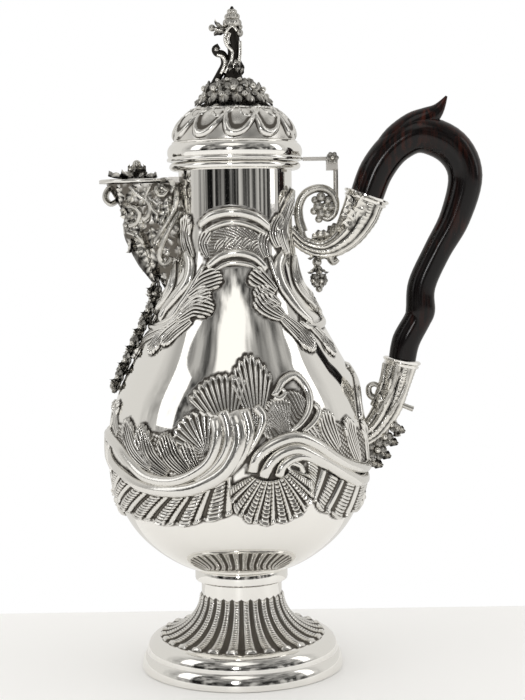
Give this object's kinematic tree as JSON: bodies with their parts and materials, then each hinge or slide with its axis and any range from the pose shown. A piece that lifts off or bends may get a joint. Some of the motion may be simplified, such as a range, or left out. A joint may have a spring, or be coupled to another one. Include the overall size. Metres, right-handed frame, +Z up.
{
  "type": "silver coffee pot",
  "caption": "Pear-shaped silver coffee pot on a spool foot, with a hinged domed lid, a beak spout under a hinged flap and an S-curved dark wood grip.",
  "frame": {"origin": "on the table at the axis of the foot and vessel", "axes": "+Z up, +X towards the handle, -X towards the spout"},
  "size_m": [0.1736, 0.1232, 0.2991],
  "materials": {
    "polished_silver": "mirror polished sheet silver",
    "chased_silver": "cast and chased silver with darkened recesses",
    "plain_silver": "unpolished silver inside the lid",
    "ebony": "polished dark wood"
  },
  "bodies": {
    "pot": {"body_garland": "chased_silver", "body_shell": "polished_silver", "bracket_pendant": "chased_silver", "flap_hinge_pin": "polished_silver", "foot_collar": "polished_silver", "foot_ring": "polished_silver", "foot_trumpet": "chased_silver", "handle_grip": "ebony", "hinge_post": "polished_silver", "lid_hinge_pin": "polished_silver", "lower_bracket": "chased_silver", "lower_ferrule": "chased_silver", "lower_rose": "chased_silver", "lower_socket_pin": "polished_silver", "mouth_rim": "polished_silver", "neck_scroll_far": "chased_silver", "neck_scroll_near": "chased_silver", "scroll_blossom": "chased_silver", "scroll_stay": "chased_silver", "spout_hinge_block": "polished_silver", "spout_mask": "chased_silver", "spout_shell": "chased_silver", "upper_bracket": "chased_silver", "upper_ferrule": "chased_silver", "upper_scroll": "chased_silver", "upper_socket_pin": "polished_silver", "wave_scroll_far": "chased_silver", "wave_scroll_left": "chased_silver", "wave_scroll_near": "chased_silver"},
    "lid": {"lid_dome": "chased_silver", "lid_flange": "polished_silver", "lid_bezel": "polished_silver", "lid_hinge_arm": "polished_silver", "finial_wreath": "chased_silver", "finial_stem": "chased_silver", "finial_bud": "chased_silver", "finial_washer": "plain_silver", "finial_nut": "plain_silver"},
    "spout_flap": {"flap_leaf": "chased_silver", "flap_bud": "chased_silver"}
  },
  "joints": [
    {"name": "lid_hinge", "type": "hinge", "parent": "pot", "child": "lid", "pos_m": [0.0437, 0, 0.2311], "axis": [0, 1, 0], "range_deg": [0, 90]},
    {"name": "spout_flap_hinge", "type": "hinge", "parent": "pot", "child": "spout_flap", "pos_m": [-0.0292, 0, 0.2225], "axis": [0, 1, 0], "range_deg": [0, 45]}
  ]
}
